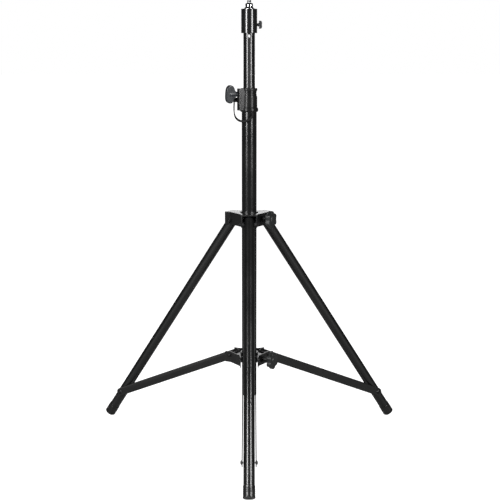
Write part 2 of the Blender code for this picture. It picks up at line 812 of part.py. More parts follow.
def brace_bar(length):
    """Flat bar along +X with round ends, a pivot hole at each, centred on Y."""
    steps = 8
    outline = []
    for end, start_angle in ((length, -90), (0.0, 90)):
        for step in range(steps + 1):
            angle = math.radians(start_angle + 180 * step / steps)
            half = BAR_HEIGHT / 2
            outline.append((end + half * math.cos(angle), half * math.sin(angle)))
    bar = prism("brace_bar", outline, -BAR_THICKNESS / 2, BAR_THICKNESS / 2)
    inner = rod("inner_hole", SPACER_OUTER + GAP, -0.01, 0.01, 12)
    outer = rod("outer_hole", BOLT_RADIUS + GAP, -0.01, 0.01, 12)
    moved_mesh(outer, Matrix.Translation((length, 0, 0)))
    return moved_mesh(combined("brace_bar", bar, cut=[inner, outer]), Matrix.Rotation(math.pi / 2, 4, "X"))


def brace_stud():
    """Bolt end that carries a brace bar beside the leg, with its head at +Y."""
    face = BAR_MIDDLE + BAR_THICKNESS / 2
    profile = [
        (0, face + 0.0036),
        (0.0045, face + 0.0034),
        (0.0070, face + 0.0018),
        (0.0070, face + GAP),
        (BOLT_RADIUS, face + GAP),
        (BOLT_RADIUS, LEG_OUTER + 0.0004),
        (0, LEG_OUTER + 0.0004),
    ]
    return moved_mesh(turned("brace_stud", profile, 12), across())


def make_legs(axis):
    brace_run = HINGE_RADIUS + LEG_TO_BRACE * math.sin(LEG_ANGLE) - BRACE_RADIUS
    brace_drop = BRACE_HEIGHT - HINGE_HEIGHT + LEG_TO_BRACE * math.cos(LEG_ANGLE)
    brace_length = math.hypot(brace_run, brace_drop)
    brace_angle = math.atan2(brace_drop, brace_run)
    upper_ear = UPPER_HALF_WIDTH
    bolt = hex_bolt("leg_bolt", upper_ear, 2 * upper_ear + 0.0080)
    nut = hex_nut("leg_nut", upper_ear)
    hinge_spacer = spacer("leg_spacer", upper_ear - SHEET - GAP)
    brace_spacer = spacer("brace_spacer", LOWER_HALF_WIDTH - SHEET - PLATE_LIP - GAP)
    pivot = rivet("brace_rivet", LOWER_HALF_WIDTH)
    tube, plug, shoe = leg_tube(), leg_plug(), foot()
    bar, stud = brace_bar(brace_length), brace_stud()
    for name, angle in ARMS.items():
        arm = empty(name + "_arm", (0, 0, 0), (0, 0, math.radians(angle)), axis)
        hinge = (HINGE_RADIUS, 0, HINGE_HEIGHT)
        place("leg_bolt_" + name, bolt, "black_zinc", arm, hinge)
        place("leg_nut_" + name, nut, "black_zinc", arm, hinge)
        place("leg_spacer_" + name, hinge_spacer, "black_zinc", arm, hinge)
        leg = empty(name + "_leg_axis", hinge, (0, -LEG_ANGLE, 0), arm)
        place("leg_tube_" + name, tube, "black_powder_coat", leg)
        place("leg_plug_" + name, plug, "black_nylon", leg)
        place("foot_" + name, shoe, "black_rubber", leg)

        inner_pivot = (BRACE_RADIUS, 0, BRACE_HEIGHT)
        place("brace_rivet_" + name, pivot, "black_zinc", arm, inner_pivot)
        place("brace_spacer_" + name, brace_spacer, "black_zinc", arm, inner_pivot)
        brace = empty(name + "_brace_axis", inner_pivot, (0, brace_angle, 0), arm)
        place("brace_bar_a_" + name, bar, "black_powder_coat", brace, (0, BAR_MIDDLE, 0))
        place("brace_bar_b_" + name, bar, "black_powder_coat", brace, (0, -BAR_MIDDLE, 0))
        place("brace_stud_a_" + name, stud, "black_zinc", brace, (brace_length, 0, 0))
        other = place("brace_stud_b_" + name, stud, "black_zinc", brace, (brace_length, 0, 0))
        other.rotation_euler = (math.pi, 0, 0)


def make_stand():
    clear_scene()
    axis = empty("mast_axis", (0, AXIS_Y, 0))
    make_mast(axis)
    make_head(axis)
    make_collar(axis)
    make_clamp_knob(axis)
    make_safety_pin(axis)
    make_lanyard(axis)
    make_upper_bracket(axis)
    make_lower_bracket(axis)
    make_legs(axis)


make_stand()
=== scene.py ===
import json
import math

import bmesh
import bpy
from mathutils import Matrix, Vector


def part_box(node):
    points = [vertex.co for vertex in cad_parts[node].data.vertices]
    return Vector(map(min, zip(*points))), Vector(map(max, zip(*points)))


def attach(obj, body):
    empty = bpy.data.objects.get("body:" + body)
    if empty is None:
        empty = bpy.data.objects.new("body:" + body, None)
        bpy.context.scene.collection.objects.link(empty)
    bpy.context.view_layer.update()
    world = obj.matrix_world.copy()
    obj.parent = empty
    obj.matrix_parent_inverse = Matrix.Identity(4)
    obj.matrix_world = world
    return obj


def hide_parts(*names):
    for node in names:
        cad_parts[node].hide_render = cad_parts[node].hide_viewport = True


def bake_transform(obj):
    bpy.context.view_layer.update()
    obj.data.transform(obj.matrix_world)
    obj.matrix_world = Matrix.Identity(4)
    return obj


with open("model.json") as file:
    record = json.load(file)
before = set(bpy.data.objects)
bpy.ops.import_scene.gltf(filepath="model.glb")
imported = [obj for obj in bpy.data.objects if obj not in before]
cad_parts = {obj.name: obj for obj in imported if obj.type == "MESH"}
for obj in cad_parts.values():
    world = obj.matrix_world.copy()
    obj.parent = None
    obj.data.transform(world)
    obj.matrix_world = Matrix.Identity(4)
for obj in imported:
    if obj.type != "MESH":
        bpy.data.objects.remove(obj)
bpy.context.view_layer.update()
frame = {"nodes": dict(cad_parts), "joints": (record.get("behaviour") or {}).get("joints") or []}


# ---- Camera ----
# A long lens a little above the clamp collar, looking slightly down at the stand from the front.

CAMERA_DISTANCE = 3.634
CAMERA_HEIGHT = 1.1835
CAMERA_OFFSET = 0.0024
CAMERA_PITCH = math.radians(9.23)
LENS_MM = 87.8

mast_low, mast_high = (Vector(corner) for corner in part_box("outer_tube"))
mast_x = (mast_low.x + mast_high.x) / 2
mast_y = (mast_low.y + mast_high.y) / 2

lens = bpy.data.cameras.new("camera")
lens.lens = LENS_MM
lens.sensor_width = 36.0
camera = bpy.data.objects.new("camera", lens)
camera.location = (mast_x + CAMERA_OFFSET, mast_y - CAMERA_DISTANCE, CAMERA_HEIGHT)
camera.rotation_euler = (math.pi / 2 - CAMERA_PITCH, 0.0, 0.0)
bpy.context.scene.collection.objects.link(camera)
bpy.context.scene.camera = camera


# ---- Lanyard ----
# Flat black strap of coated webbing that keeps the safety pin with the stand. It hangs from under the
# pin's head, goes round the front of the mast with its face to the tube, and is fixed under the clamp
# collar's rim.

STRAP_WIDTH = 0.0066
STRAP_THICKNESS = 0.0030
STRAP_EDGE = (
    (1.0, 0.70),
    (0.85, 0.86),
    (0.45, 0.97),
    (0.0, 1.0),
    (-0.45, 0.97),
    (-0.85, 0.86),
    (-1.0, 0.70),
)
STRAP_ROUTE = (
    (-0.0446, 0.0120, 1.0356),
    (-0.0449, 0.0113, 1.0280),
    (-0.0451, 0.0095, 1.0200),
    (-0.0450, 0.0062, 1.0120),
    (-0.0443, 0.0008, 1.0040),
    (-0.0422, -0.0062, 0.9962),
    (-0.0380, -0.0132, 0.9893),
    (-0.0312, -0.0200, 0.9842),
    (-0.0223, -0.0250, 0.9816),
    (-0.0125, -0.0278, 0.9818),
    (-0.0030, -0.0287, 0.9850),
    (0.0045, -0.0282, 0.9900),
    (0.0088, -0.0264, 0.9960),
    (0.0100, -0.0242, 1.0020),
    (0.0096, -0.0224, 1.0076),
)


def curve_between(before, start, stop, after, steps):
    """Points from start to just short of stop, on a smooth curve through all four points."""
    bend = 2 * before - 5 * start + 4 * stop - after
    twist = 3 * start - before - 3 * stop + after
    shares = [step / steps for step in range(steps)]
    return [(2 * start + (stop - before) * t + bend * t * t + twist * t * t * t) / 2 for t in shares]


def smooth_route(points, steps):
    """Points on a smooth curve through the route, from its first point to its last."""
    route = [Vector(point) for point in points]
    ends = [2 * route[0] - route[1], *route, 2 * route[-1] - route[-2]]
    smooth = []
    for four in zip(ends, ends[1:], ends[2:], ends[3:]):
        smooth += curve_between(*four, steps)
    return [*smooth, route[-1]]


def new_finish(name, colour, roughness, metallic=0.0):
    """A material with its shader, and the object coordinates that its patterns read."""
    made = bpy.data.materials.new(name)
    made.use_nodes = True
    shader = made.node_tree.nodes["Principled BSDF"]
    shader.inputs["Base Color"].default_value = (*colour, 1.0)
    shader.inputs["Roughness"].default_value = roughness
    shader.inputs["Metallic"].default_value = metallic
    place = made.node_tree.nodes.new("ShaderNodeTexCoord").outputs["Object"]
    return made, shader, place


def noise(made, place, scale, detail=2.0, stretch=(1.0, 1.0, 1.0)):
    """Noise from 0 to 1, with its grain stretched along the axes where stretch is under 1."""
    nodes, links = made.node_tree.nodes, made.node_tree.links
    mapping = nodes.new("ShaderNodeMapping")
    mapping.inputs["Scale"].default_value = stretch
    links.new(place, mapping.inputs["Vector"])
    grain = nodes.new("ShaderNodeTexNoise")
    grain.inputs["Scale"].default_value = scale
    grain.inputs["Detail"].default_value = detail
    links.new(mapping.outputs["Vector"], grain.inputs["Vector"])
    return grain.outputs["Fac"]


def spread(made, socket, low, high, to_low, to_high):
    """A value between low and high, carried over to between to_low and to_high."""
    node = made.node_tree.nodes.new("ShaderNodeMapRange")
    for name, value in (("From Min", low), ("From Max", high), ("To Min", to_low), ("To Max", to_high)):
        node.inputs[name].default_value = value
    made.node_tree.links.new(socket, node.inputs["Value"])
    return node.outputs["Result"]


def blend_colour(made, amount, first, second):
    """A colour that goes from first to second with the amount. Each is a colour or a socket."""
    node = made.node_tree.nodes.new("ShaderNodeMix")
    node.data_type = "RGBA"
    made.node_tree.links.new(amount, node.inputs["Factor"])
    for name, colour in (("A", first), ("B", second)):
        socket = [item for item in node.inputs if item.name == name and item.type == "RGBA"][0]
        if isinstance(colour, tuple):
            socket.default_value = (*colour, 1.0)
        else:
            made.node_tree.links.new(colour, socket)
    return [item for item in node.outputs if item.type == "RGBA"][0]


def raise_by(made, shader, height, depth):
    """Bumps on the surface, from a height between 0 and 1 and the real depth of the relief."""
    bump = made.node_tree.nodes.new("ShaderNodeBump")
    bump.inputs["Distance"].default_value = depth
    bump.inputs["Strength"].default_value = 1.0
    made.node_tree.links.new(height, bump.inputs["Height"])
    made.node_tree.links.new(bump.outputs["Normal"], shader.inputs["Normal"])


def strap_finish():
    """Calendered rubber-coated webbing, with its weave just showing through."""
    made, shader, place = new_finish("coated_webbing", (0.006, 0.006, 0.006), 0.7)
    shader.inputs["Specular IOR Level"].default_value = 0.15
    weave = made.node_tree.nodes.new("ShaderNodeTexWave")
    weave.wave_type = "BANDS"
    weave.bands_direction = "DIAGONAL"
    weave.inputs["Scale"].default_value = 260.0
    weave.inputs["Distortion"].default_value = 1.5
    made.node_tree.links.new(place, weave.inputs["Vector"])
    tone = blend_colour(made, weave.outputs["Fac"], (0.004, 0.004, 0.004), (0.009, 0.009, 0.009))
    made.node_tree.links.new(tone, shader.inputs["Base Color"])
    fuzz = spread(made, noise(made, place, 900.0), 0.3, 0.7, 0.62, 0.80)
    made.node_tree.links.new(fuzz, shader.inputs["Roughness"])
    raise_by(made, shader, weave.outputs["Fac"], 0.0001)
    return made


mast_foot = Vector((mast_x, mast_y, 0.0))
strap_route = smooth_route(STRAP_ROUTE, 6)
bm = bmesh.new()
strap_loops = []
nearer = [strap_route[0], *strap_route]
further = [*strap_route[1:], strap_route[-1]]
for before, point, after in zip(nearer, strap_route, further):
    along = (after - before).normalized()
    out = Vector((point.x, point.y, 0))
    out = (out - along * out.dot(along)).normalized() * STRAP_THICKNESS / 2
    wide = along.cross(out).normalized() * STRAP_WIDTH / 2
    corners = [out * up + wide * across for up, across in STRAP_EDGE]
    corners += [out * up - wide * across for up, across in reversed(STRAP_EDGE)]
    verts = [bm.verts.new(point + corner) for corner in corners]
    strap_loops.append([bm.edges.new(pair) for pair in zip(verts, verts[1:] + verts[:1])])
for first, second in zip(strap_loops, strap_loops[1:]):
    bmesh.ops.bridge_loops(bm, edges=first + second)
for end in (strap_loops[0], strap_loops[-1]):
    bmesh.ops.contextual_create(bm, geom=end)
bmesh.ops.translate(bm, vec=mast_foot, verts=bm.verts)
bmesh.ops.recalc_face_normals(bm, faces=bm.faces)
strap_mesh = bpy.data.meshes.new("pin_strap")
bm.to_mesh(strap_mesh)
bm.free()
strap_mesh.shade_smooth()
strap_mesh.set_sharp_from_angle(angle=math.radians(50))
strap_mesh.materials.append(strap_finish())
pin_strap = bpy.data.objects.new("pin_strap", strap_mesh)
bpy.context.scene.collection.objects.link(pin_strap)
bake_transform(pin_strap)
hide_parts("lanyard")


# ---- Outer tube ----
# Drawn steel tube with chamfered ends, under a thin satin powder coat with a faint orange peel and
# light scratches along its length.

OUTER_WALL = 0.00195
END_CHAMFER = 0.0006
EDGE_BAND = 0.0010
SAME_POINT = 2e-6
TUBE_STEPS = 96


def lathe(profile, steps, rounding=0.0):
    """A profile of (radius, height) points spun about Z. It closes on itself, or on the axis.

    A long run gets a row of points near each end, so that the wear at an edge stays close to it.
    """
    bm = bmesh.new()
    verts = [bm.verts.new((radius, 0.0, height)) for radius, height in profile]
    edges = [bm.edges.new(pair) for pair in zip(verts, verts[1:])]
    if profile[0][0] > 0:
        edges.append(bm.edges.new((verts[-1], verts[0])))
    for edge in [edge for edge in edges if edge.calc_length() > 6 * EDGE_BAND]:
        for end in edge.verts[:]:
            bmesh.utils.edge_split(edge, end, EDGE_BAND / edge.calc_length())
    verts, edges = bm.verts[:], bm.edges[:]
    bmesh.ops.spin(
        bm, geom=verts + edges, cent=(0, 0, 0), axis=(0, 0, 1), angle=math.tau, steps=steps, use_merge=True
    )
    bmesh.ops.remove_doubles(bm, verts=bm.verts, dist=SAME_POINT)
    bmesh.ops.recalc_face_normals(bm, faces=bm.faces)
    if rounding:
        soften(bm, rounding)
    return bm


def soften(bm, width, segments=2, angle=30.0):
    """Rounds every edge that is sharper than the angle."""
    sharp = [edge for edge in bm.edges if edge.is_manifold and edge.calc_face_angle() > math.radians(angle)]
    bmesh.ops.bevel(
        bm,
        geom=sharp,
        offset=width,
        offset_type="OFFSET",
        affect="EDGES",
        segments=segments,
        profile=0.5,
        material=-1,
        clamp_overlap=True,
    )


def moved(bm, matrix):
    """The same shape, carried by the matrix."""
    bmesh.ops.transform(bm, matrix=matrix, verts=bm.verts)
    return bm


def piece(name, bm, finish, body, *nodes):
    """Makes the piece from its bmesh, fixes it to its body and puts it in place of the CAD nodes."""
    mesh = bpy.data.meshes.new(name)
    bm.to_mesh(mesh)
    bm.free()
    mesh.shade_smooth()
    mesh.set_sharp_from_angle(angle=math.radians(40))
    mesh.materials.append(finish)
    made = bpy.data.objects.new(name, mesh)
    bpy.context.scene.collection.objects.link(made)
    made.modifiers.new("true_flats", "WEIGHTED_NORMAL").keep_sharp = True
    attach(made, body)
    if nodes:
        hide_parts(*nodes)
    return made


def powder_coat(name, tone, roughness, peel_depth, shine=0.5):
    """Sprayed black powder with peel, uneven gloss, hairline scratches, dust and worn edges."""
    made, shader, place = new_finish(name, (tone, tone, tone), roughness)
    shader.inputs["Specular IOR Level"].default_value = shine
    links = made.node_tree.links
    scratches = spread(made, noise(made, place, 420.0, 3.0, (1.0, 1.0, 0.04)), 0.62, 0.74, 0.0, 1.0)
    cloud = noise(made, place, 9.0, 4.0)
    edge = made.node_tree.nodes.new("ShaderNodeNewGeometry").outputs["Pointiness"]
    worn = spread(made, edge, 0.54, 0.62, 0.0, 0.5)
    base = (tone, tone * 1.06, tone * 1.08)
    dusty = (tone * 1.7, tone * 1.7, tone * 1.65)
    coat = blend_colour(made, spread(made, cloud, 0.35, 0.75, 0.0, 1.0), base, dusty)
    scratched = blend_colour(made, scratches, coat, (tone * 1.8, tone * 1.8, tone * 1.8))
    final = blend_colour(made, worn, scratched, (0.09, 0.09, 0.09))
    links.new(final, shader.inputs["Base Color"])
    gloss = spread(made, cloud, 0.3, 0.7, roughness - 0.04, roughness + 0.05)
    links.new(gloss, shader.inputs["Roughness"])
    raise_by(made, shader, noise(made, place, 700.0, 1.0), peel_depth)
    return made


tube_coat = powder_coat("tube_powder_coat", 0.0035, 0.22, 0.000006)
mast_axis = Matrix.Translation(mast_foot)
outer_radius = (mast_high.x - mast_low.x) / 2
outer_tube = lathe(
    [
        (outer_radius - END_CHAMFER, mast_high.z),
        (outer_radius, mast_high.z - END_CHAMFER),
        (outer_radius, mast_low.z + END_CHAMFER),
        (outer_radius - END_CHAMFER, mast_low.z),
        (outer_radius - OUTER_WALL, mast_low.z),
        (outer_radius - OUTER_WALL, mast_high.z),
    ],
    TUBE_STEPS,
)
piece("mast_outer_tube", moved(outer_tube, mast_axis), tube_coat, "mast", "outer_tube")


# ---- End cap and guides of the mast ----
# Moulded nylon: a cap pushed into the bottom of the outer tube, a bush in its top end that guides the
# sliding tube, and a ring on the sliding tube's lower end.

EASY_FIT = 0.0003


def moulded_nylon(name, colour, roughness=0.48):
    """Moulded plastic with a fine spark-eroded grain and slightly polished high spots."""
    made, shader, place = new_finish(name, colour, roughness)
    grain = noise(made, place, 1100.0, 3.0)
    cloud = noise(made, place, 30.0, 3.0)
    lighter = tuple(channel * 1.5 for channel in colour)
    tone = blend_colour(made, spread(made, cloud, 0.35, 0.7, 0.0, 1.0), colour, lighter)
    made.node_tree.links.new(tone, shader.inputs["Base Color"])
    gloss = spread(made, cloud, 0.3, 0.7, roughness - 0.07, roughness + 0.06)
    made.node_tree.links.new(gloss, shader.inputs["Roughness"])
    raise_by(made, shader, grain, 0.00005)
    return made


def give_finish(node, finish):
    """Puts a finish on a CAD node whose own shape stays."""
    materials = frame["nodes"][node].data.materials
    materials.clear()
    materials.append(finish)


black_nylon = moulded_nylon("black_moulded_nylon", (0.007, 0.008, 0.009), 0.40)
natural_nylon = moulded_nylon("natural_moulded_nylon", (0.50, 0.49, 0.45))

cap_low, cap_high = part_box("mast_end_cap")
cap_lip = mast_low.z - EASY_FIT
cap_plug = outer_radius - OUTER_WALL - EASY_FIT
end_cap = lathe(
    [
        (0.0, cap_high[2]),
        (cap_plug, cap_high[2]),
        (cap_plug, cap_lip),
        (outer_radius - 0.0001, cap_lip),
        (outer_radius - 0.0001, cap_low[2] + 0.0010),
        (outer_radius - 0.0012, cap_low[2]),
        (outer_radius - 0.0050, cap_low[2]),
        (outer_radius - 0.0058, cap_low[2] + 0.0012),
        (0.0, cap_low[2] + 0.0012),
    ],
    64,
)
piece("end_cap", moved(end_cap, mast_axis), black_nylon, "mast", "mast_end_cap")
give_finish("guide_bush", black_nylon)
give_finish("inner_tube_guide", natural_nylon)


# ---- Sliding tube ----
# Drawn steel tube under a smoother and glossier powder coat. A row of drilled cross holes takes the
# safety pin, and the spigot's screw goes through a hole near the top.

CROSS_HOLE_RADIUS = 0.0050
CROSS_HOLE_TOP = 1.2294
CROSS_HOLE_PITCH = 0.1866
CROSS_HOLES = 5
CROSS_HOLE_ANGLE = 96.0
SCREW_HOLE_RADIUS = 0.0048
SCREW_HEIGHT = 1.2620
INNER_WALL = 0.0019


def towards(angle, height=0.0):
    """Carries a shape made along +Z to lie along a level direction, out from the mast's axis."""
    turn = Matrix.Rotation(math.radians(angle), 4, "Z") @ Matrix.Rotation(math.pi / 2, 4, "Y")
    return Matrix.Translation((0, 0, height)) @ turn


def plug(radius, low, high, steps=32):
    """A plain solid round, to join or to cut with."""
    return lathe([(0, high), (radius, high), (radius, low), (0, low)], steps)


def joined_and_cut(base, joined, cut):
    """One closed shape from a base, the shapes joined to it and the shapes cut from it."""
    objects = []
    for number, bm in enumerate([base, *joined, *cut]):
        mesh = bpy.data.meshes.new("shape")
        bm.to_mesh(mesh)
        bm.free()
        made = bpy.data.objects.new("shape", mesh)
        bpy.context.scene.collection.objects.link(made)
        objects.append(made)
        if number:
            modifier = objects[0].modifiers.new("boolean", "BOOLEAN")
            modifier.operation = "UNION" if number <= len(joined) else "DIFFERENCE"
            modifier.solver = "EXACT"
            modifier.object = made
    bpy.context.view_layer.update()
    worked = objects[0].evaluated_get(bpy.context.evaluated_depsgraph_get())
    result = bmesh.new()
    result.from_mesh(worked.to_mesh())
    worked.to_mesh_clear()
    for made in objects:
        mesh = made.data
        bpy.data.objects.remove(made, do_unlink=True)
        bpy.data.meshes.remove(mesh)
    bmesh.ops.remove_doubles(result, verts=result.verts, dist=5e-6)
    bmesh.ops.dissolve_degenerate(result, edges=result.edges, dist=1e-6)
    return result


gloss_coat = powder_coat("gloss_powder_coat", 0.0030, 0.235, 0.000004, 0.42)
inner_low, inner_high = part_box("inner_tube")
inner_radius = (inner_high[0] - inner_low[0]) / 2
sliding_tube = lathe(
    [
        (inner_radius - END_CHAMFER, inner_high[2]),
        (inner_radius, inner_high[2] - END_CHAMFER),
        (inner_radius, inner_low[2] + END_CHAMFER),
        (inner_radius - END_CHAMFER, inner_low[2]),
        (inner_radius - INNER_WALL, inner_low[2]),
        (inner_radius - INNER_WALL, inner_high[2]),
    ],
    TUBE_STEPS,
)
cross_holes = []
for number in range(CROSS_HOLES):
    height = CROSS_HOLE_TOP - number * CROSS_HOLE_PITCH
    cross_holes.append(moved(plug(CROSS_HOLE_RADIUS, -0.03, 0.03), towards(CROSS_HOLE_ANGLE, height)))
cross_holes.append(moved(plug(SCREW_HOLE_RADIUS, 0.0, 0.03), towards(0.0, SCREW_HEIGHT)))
sliding_tube = joined_and_cut(sliding_tube, [], cross_holes)
piece("mast_sliding_tube", moved(sliding_tube, mast_axis), gloss_coat, "extension", "inner_tube")


# ---- Top sleeve ----
# Thick turned steel collar, pressed and pinned on the sliding tube's end, under the glossiest coat of
# all. It holds the spigot, and has the tapped hole for the spigot's screw.

SLEEVE_HOLE_RADIUS = 0.0043

sleeve_low, sleeve_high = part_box("top_sleeve")
sleeve_radius = (sleeve_high[0] - sleeve_low[0]) / 2
sleeve = lathe(
    [
        (sleeve_radius, sleeve_high[2]),
        (sleeve_radius, sleeve_low[2]),
        (inner_radius + EASY_FIT, sleeve_low[2]),
        (inner_radius + EASY_FIT, sleeve_high[2]),
    ],
    TUBE_STEPS,
    0.0008,
)
sleeve_hole = moved(plug(SLEEVE_HOLE_RADIUS, 0.0, 0.04), towards(0.0, SCREW_HEIGHT))
sleeve = joined_and_cut(sleeve, [], [sleeve_hole])
sleeve_coat = powder_coat("sleeve_gloss_coat", 0.0035, 0.18, 0.000004)
piece("sleeve", moved(sleeve, mast_axis), sleeve_coat, "extension", "top_sleeve")


# ---- Spigot ----
# Turned and chromed steel stud for the lamp: a flared foot on the sleeve, a grooved head that a lamp's
# screw bears on, and a threaded tip.

THREAD_PITCH = 0.00125
THREAD_DEPTH = 0.0005
THREAD_RADIUS = 0.0060
THREAD_LENGTH = 0.0072


def chrome():
    """Bright chrome plate, with the turning marks of the steel just visible and faint handling smears."""
    made, shader, place = new_finish("chrome_plate", (0.66, 0.67, 0.68), 0.08, 1.0)
    rings = noise(made, place, 1500.0, 2.0, (0.02, 0.02, 1.0))
    smears = noise(made, place, 60.0, 4.0)
    smeared = spread(made, smears, 0.4, 0.75, 0.0, 1.0)
    tone = blend_colour(made, smeared, (0.68, 0.69, 0.70), (0.50, 0.50, 0.50))
    made.node_tree.links.new(tone, shader.inputs["Base Color"])
    gloss = spread(made, smears, 0.35, 0.75, 0.05, 0.16)
    made.node_tree.links.new(gloss, shader.inputs["Roughness"])
    raise_by(made, shader, rings, 0.00001)
    return made


spigot_low, spigot_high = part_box("spigot")
spigot_top = spigot_high[2]
spigot_foot = sleeve_high[2] + EASY_FIT
spigot_profile = [(0, spigot_top), (THREAD_RADIUS - 0.0008, spigot_top)]
thread_height = spigot_top - 0.0008
while thread_height > spigot_top - THREAD_LENGTH:
    spigot_profile.append((THREAD_RADIUS, thread_height))
    spigot_profile.append((THREAD_RADIUS - THREAD_DEPTH, thread_height - THREAD_PITCH / 2))
    thread_height -= THREAD_PITCH
spigot_profile += [
    (THREAD_RADIUS - THREAD_DEPTH, spigot_top - 0.0083),
    (0.0073, spigot_top - 0.0086),
    (0.0090, spigot_top - 0.0090),
    (0.0106, spigot_top - 0.0100),
    (0.0117, spigot_top - 0.0115),
    (0.0121, spigot_top - 0.0132),
    (0.0121, spigot_top - 0.0172),
    (0.0112, spigot_top - 0.0181),
    (0.0110, spigot_top - 0.0187),
    (0.0112, spigot_top - 0.0193),
    (0.0121, spigot_top - 0.0202),
    (0.0124, spigot_foot + 0.0040),
    (0.0131, spigot_foot + 0.0026),
    (0.0146, spigot_foot + 0.0014),
    (0.0165, spigot_foot + 0.0009),
    (0.0168, spigot_foot + 0.0005),
    (0.0168, spigot_foot),
    (0.0150, spigot_foot),
    (0.0150, SCREW_HEIGHT + 0.0065),
    (0.0135, SCREW_HEIGHT + 0.0050),
    (0.0135, SCREW_HEIGHT - 0.0050),
    (0.0150, SCREW_HEIGHT - 0.0065),
    (0.0150, spigot_low[2] + 0.0010),
    (0.0140, spigot_low[2]),
    (0, spigot_low[2]),
]
piece("lamp_spigot", moved(lathe(spigot_profile, 64), mast_axis), chrome(), "extension", "spigot")


# ---- Spigot screw ----
# Locking screw in the side of the sleeve: a bowed cross bar of black nylon, moulded in one with the
# round shank that it turns.

SHANK_TIP = 0.0140
BAR_LENGTH = 0.0230
BAR_WIDTH = 0.0084
BAR_DEPTH = 0.0078
BAR_BOW = 0.0032
BAR_STATIONS = 12


def zinc_plate(name, tone, roughness):
    """Black zinc plate on steel: a dull metal with a faint cloudiness and rubbed edges."""
    made, shader, place = new_finish(name, (tone, tone, tone), roughness, 0.75)
    cloud = noise(made, place, 90.0, 4.0)
    edge = made.node_tree.nodes.new("ShaderNodeNewGeometry").outputs["Pointiness"]
    clouded = spread(made, cloud, 0.35, 0.7, 0.0, 1.0)
    coat = blend_colour(made, clouded, (tone, tone, tone * 1.05), (tone * 2, tone * 2, tone * 2))
    rubbed = blend_colour(made, spread(made, edge, 0.53, 0.62, 0.0, 0.7), coat, (0.12, 0.12, 0.125))
    made.node_tree.links.new(rubbed, shader.inputs["Base Color"])
    gloss = spread(made, cloud, 0.3, 0.7, roughness - 0.06, roughness + 0.08)
    made.node_tree.links.new(gloss, shader.inputs["Roughness"])
    raise_by(made, shader, noise(made, place, 1400.0, 2.0), 0.00002)
    return made


black_zinc = zinc_plate("black_zinc_plate", 0.012, 0.34)


def bowed_bar():
    """Cross bar along X, bowed away from its screw, thicker in the middle and rounded all over."""
    bm = bmesh.new()
    bmesh.ops.create_cube(bm, size=1.0)
    bmesh.ops.scale(bm, vec=(BAR_LENGTH, BAR_WIDTH, BAR_DEPTH), verts=bm.verts)
    lengthwise = [edge for edge in bm.edges if edge.calc_length() > BAR_LENGTH / 2]
    bmesh.ops.subdivide_edges(bm, edges=lengthwise, cuts=BAR_STATIONS - 1, use_grid_fill=True)
    soften(bm, 0.0022, 3)
    for vert in bm.verts:
        along = vert.co.x / (BAR_LENGTH / 2)
        lobe = 1.0 - 0.25 * math.cos(along * math.pi) * (1 - abs(along)) + 0.10 * abs(along)
        vert.co.z = vert.co.z * lobe - BAR_BOW * along * along
    return bm


screw_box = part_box("t_screw")
bar_middle = screw_box[1][0] - mast_x - BAR_DEPTH / 2
shank = lathe(
    [
        (0, bar_middle),
        (0.0054, bar_middle),
        (0.0060, bar_middle - 0.0050),
        (0.0055, bar_middle - 0.0076),
        (0.0040, bar_middle - 0.0086),
        (0.0040, 0.0146),
        (0.0034, SHANK_TIP),
        (0, SHANK_TIP),
    ],
    48,
)
bar = moved(bowed_bar(), Matrix.Translation((0, 0, bar_middle)))
cross_screw = joined_and_cut(shank, [bar], [])
cross_screw = moved(cross_screw, mast_axis @ towards(0.0, SCREW_HEIGHT))
piece("cross_bar_screw", cross_screw, black_nylon, "spigot_screw", "t_screw")


# ---- Clamp collar ----
# Die-cast aluminium collar, powder-coated: a socket over the outer tube, a neck that grips the sliding
# tube, a square boss for the clamp screw and a round boss for the safety pin.

CLAMP_ANGLE = 205.0
CLAMP_HEIGHT = 1.0604
PIN_ANGLE = 165.0
PIN_HEIGHT = 1.0428
SOCKET_TOP = 1.0303
BOSS_ROOT = 0.0160
BOSS_END = 0.0360
BOSS_HALF = 0.0115
BOSS_CORNER = 0.0035
BOSS_LOW = 1.0125
SCREW_BORE = 0.0053
PIN_BORE = 0.0048

collar_low, collar_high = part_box("clamp_collar")
collar_bottom, collar_top = collar_low[2], collar_high[2]


def slab(outline, low, high):
    """A flat outline of (x, y) points, drawn up from low to high."""
    bm = bmesh.new()
    face = bm.faces.new([bm.verts.new((x, y, low)) for x, y in outline])
    drawn = bmesh.ops.extrude_face_region(bm, geom=[face])
    tops = [item for item in drawn["geom"] if isinstance(item, bmesh.types.BMVert)]
    bmesh.ops.translate(bm, vec=(0, 0, high - low), verts=tops)
    bmesh.ops.recalc_face_normals(bm, faces=bm.faces)
    return bm


collar_body = lathe(
    [
        (0.0232, collar_top),
        (0.0243, collar_top - 0.0012),
        (0.0243, 1.0712),
        (0.0238, 1.0700),
        (0.0222, 1.0694),
        (0.0222, 1.0650),
        (0.0214, 1.0642),
        (0.0214, 1.0626),
        (0.0222, 1.0618),
        (0.0222, 1.0560),
        (0.0237, 1.0550),
        (0.0240, 1.0538),
        (0.0240, 1.0212),
        (0.0262, 1.0200),
        (0.0269, 1.0188),
        (0.0269, 1.0112),
        (0.0262, 1.0096),
        (0.0250, collar_bottom),
        (0.0150, collar_bottom),
        (0.0150, collar_top),
    ],
    TUBE_STEPS,
)
clamp_boss = slab(
    [
        (BOSS_ROOT, -BOSS_HALF),
        (BOSS_END - BOSS_CORNER, -BOSS_HALF),
        (BOSS_END, -BOSS_HALF + BOSS_CORNER),
        (BOSS_END, BOSS_HALF - BOSS_CORNER),
        (BOSS_END - BOSS_CORNER, BOSS_HALF),
        (BOSS_ROOT, BOSS_HALF),
    ],
    BOSS_LOW,
    collar_top - 0.0008,
)
soften(clamp_boss, 0.0012, 3)
moved(clamp_boss, Matrix.Rotation(math.radians(CLAMP_ANGLE), 4, "Z"))
